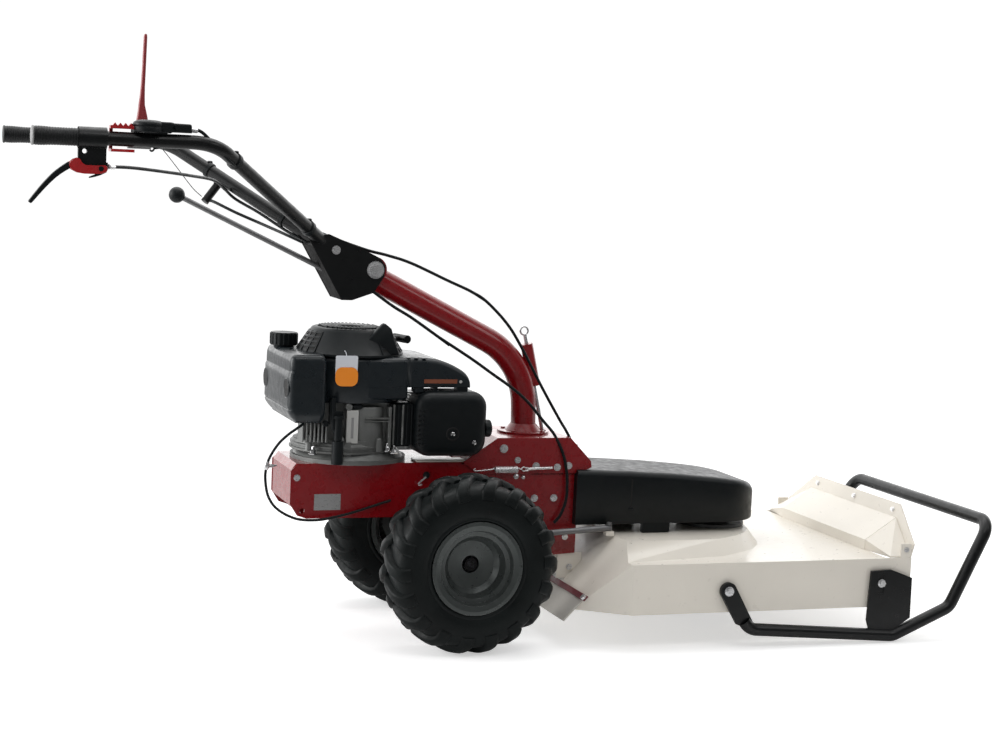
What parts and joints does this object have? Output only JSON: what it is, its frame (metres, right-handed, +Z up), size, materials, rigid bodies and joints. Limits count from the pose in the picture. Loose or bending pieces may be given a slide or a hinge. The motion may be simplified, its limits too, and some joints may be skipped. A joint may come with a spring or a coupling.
{
  "type": "brush mower",
  "caption": "Walk-behind two-wheel brush mower: rear vertical-shaft engine, swivelling handle column, lugged tyres and a front rotary deck with raised mouth and skid bar.",
  "frame": {"origin": "on the ground, in the mid-plane, directly under the wheel axle", "axes": "+X forward towards the mower deck, +Y to the operator's left, +Z up"},
  "size_m": [1.9445, 0.5752, 1.144],
  "materials": {
    "red_paint": "gloss",
    "cream_paint": "satin",
    "black_paint": "satin",
    "black_plastic": "fine grain",
    "tank_plastic": "satin",
    "red_plastic": "satin",
    "orange_plastic": "satin",
    "cast_alu": "as cast",
    "rim_paint": "satin",
    "tyre_rubber": "matt",
    "grip_rubber": "matt",
    "flap_rubber": "matt",
    "belt_rubber": "matt",
    "zinc": "zinc plated",
    "steel": "machined",
    "cast_housing": "painted",
    "bronze": "machined",
    "plate_alu": "brushed"
  },
  "bodies": {
    "chassis": {"main_frame": "red_paint", "column_saddle": "red_paint", "data_plate": "plate_alu", "swivel_base": "red_paint", "frame_bolts": "zinc", "gearbox_housing": "cast_housing", "engine_block": "cast_alu", "muffler": "black_paint", "carburettor": "cast_alu", "air_filter_box": "black_plastic", "blower_shroud": "black_plastic", "recoil_cover": "black_plastic", "fuel_tank": "tank_plastic", "hang_tag": "orange_plastic", "drive_belt": "belt_rubber", "deck_belt": "belt_rubber", "tension_spring": "zinc", "spindle_housing": "cast_housing", "deck_shell": "cream_paint", "front_hood": "cream_paint", "deck_bolts": "zinc", "deflector_flap": "flap_rubber", "flap_strap": "red_plastic", "belt_cover": "black_plastic", "stay_rod": "zinc", "cables_chassis": "black_plastic"},
    "fuel_cap": {"fuel_cap": "black_plastic"},
    "dipstick": {"dipstick": "black_plastic"},
    "starter": {"starter_handle": "black_plastic"},
    "crank": {"crankshaft": "steel", "flywheel": "cast_alu", "engine_pulley": "cast_alu"},
    "worm": {"worm_shaft": "steel", "gearbox_pulley": "cast_alu"},
    "wheels": {"axle": "steel", "worm_wheel": "bronze", "rim_left": "rim_paint", "rim_right": "rim_paint", "tyre_left": "tyre_rubber", "tyre_right": "tyre_rubber", "wheel_bolts": "zinc"},
    "idler": {"idler_arm": "zinc"},
    "rotor": {"blade_spindle": "steel", "spindle_pulley": "cast_alu", "blade_carrier": "steel"},
    "blade_a": {"blade_a": "steel"},
    "blade_b": {"blade_b": "steel"},
    "skid": {"skid_bar": "black_paint"},
    "column": {"steering_column": "red_paint"},
    "lock_pin": {"column_lock_pin": "zinc"},
    "handle": {"handle_bracket": "black_paint", "handlebar": "black_paint", "grips": "grip_rubber", "throttle_housing": "black_plastic", "lever_brackets": "black_paint", "cables_handle": "black_plastic"},
    "throttle": {"throttle_lever": "red_plastic"},
    "safety": {"safety_lever": "red_plastic"},
    "clutch": {"clutch_lever": "red_plastic"},
    "height_rod": {"height_lock_rod": "zinc"}
  },
  "joints": [
    {"name": "crank_spin", "type": "hinge", "parent": "chassis", "child": "crank", "pos_m": [-0.188, 0, 0.4], "axis": [0, 0, 1], "continuous": true},
    {"name": "worm_spin", "type": "hinge", "parent": "chassis", "child": "worm", "pos_m": [0.066, 0, 0.2], "axis": [0, 0, 1], "continuous": true},
    {"name": "axle_spin", "type": "hinge", "parent": "chassis", "child": "wheels", "pos_m": [0, 0, 0.17], "axis": [0, 1, 0], "continuous": true},
    {"name": "blade_spin", "type": "hinge", "parent": "chassis", "child": "rotor", "pos_m": [0.6, 0, 0.15], "axis": [0, 0, 1], "continuous": true},
    {"name": "blade_a_swing", "type": "hinge", "parent": "rotor", "child": "blade_a", "pos_m": [0.6, 0.145, 0.086], "axis": [0, 0, 1], "range_deg": [-100, 100]},
    {"name": "blade_b_swing", "type": "hinge", "parent": "rotor", "child": "blade_b", "pos_m": [0.6, -0.145, 0.086], "axis": [0, 0, 1], "range_deg": [-100, 100]},
    {"name": "idler_swing", "type": "hinge", "parent": "chassis", "child": "idler", "pos_m": [0.01, -0.058, 0.255], "axis": [0, 0, 1], "range_deg": [0, 7]},
    {"name": "fuel_cap_turn", "type": "hinge", "parent": "chassis", "child": "fuel_cap", "pos_m": [-0.308, 0.06, 0.57], "axis": [0, 0, 1], "range_deg": [0, 90]},
    {"name": "dipstick_pull", "type": "slide", "parent": "chassis", "child": "dipstick", "axis": [0, 0, 1], "range_m": [0, 0.05]},
    {"name": "starter_pull", "type": "slide", "parent": "chassis", "child": "starter", "axis": [0.96, 0.28, 0], "range_m": [0, 0.045]},
    {"name": "column_swivel", "type": "hinge", "parent": "chassis", "child": "column", "pos_m": [0.174, 0, 0.42], "axis": [0, 0, 1], "range_deg": [-24, 24]},
    {"name": "lock_pin_lift", "type": "slide", "parent": "column", "child": "lock_pin", "axis": [-0.2359, 0, 0.9718], "range_m": [0, 0.012]},
    {"name": "handle_height", "type": "hinge", "parent": "column", "child": "handle", "pos_m": [-0.158, 0, 0.71], "axis": [0, 1, 0], "range_deg": [-12, 12]},
    {"name": "height_rod_pull", "type": "slide", "parent": "handle", "child": "height_rod", "axis": [-0.9088, 0, 0.4173], "range_m": [0, 0.015]},
    {"name": "throttle_turn", "type": "hinge", "parent": "handle", "child": "throttle", "pos_m": [-0.632, -0.252, 0.955], "axis": [0, 0, 1], "range_deg": [-25, 0]},
    {"name": "safety_fold", "type": "hinge", "parent": "handle", "child": "safety", "pos_m": [-0.566, 0.252, 0.959], "axis": [0, 1, 0], "range_deg": [-80, 0]},
    {"name": "clutch_squeeze", "type": "hinge", "parent": "handle", "child": "clutch", "pos_m": [-0.712, -0.252, 0.884], "axis": [0, 1, 0], "range_deg": [0, 22]},
    {"name": "skid_height", "type": "hinge", "parent": "chassis", "child": "skid", "pos_m": [0.515, 0, 0.115], "axis": [0, 1, 0], "range_deg": [-2.5, 2.5]}
  ],
  "couplings": [
    {"joint": "worm_spin", "follows": "crank_spin", "ratio": 0.69231},
    {"joint": "axle_spin", "follows": "crank_spin", "ratio": 0.021635},
    {"joint": "blade_spin", "follows": "crank_spin", "ratio": 0.6}
  ]
}
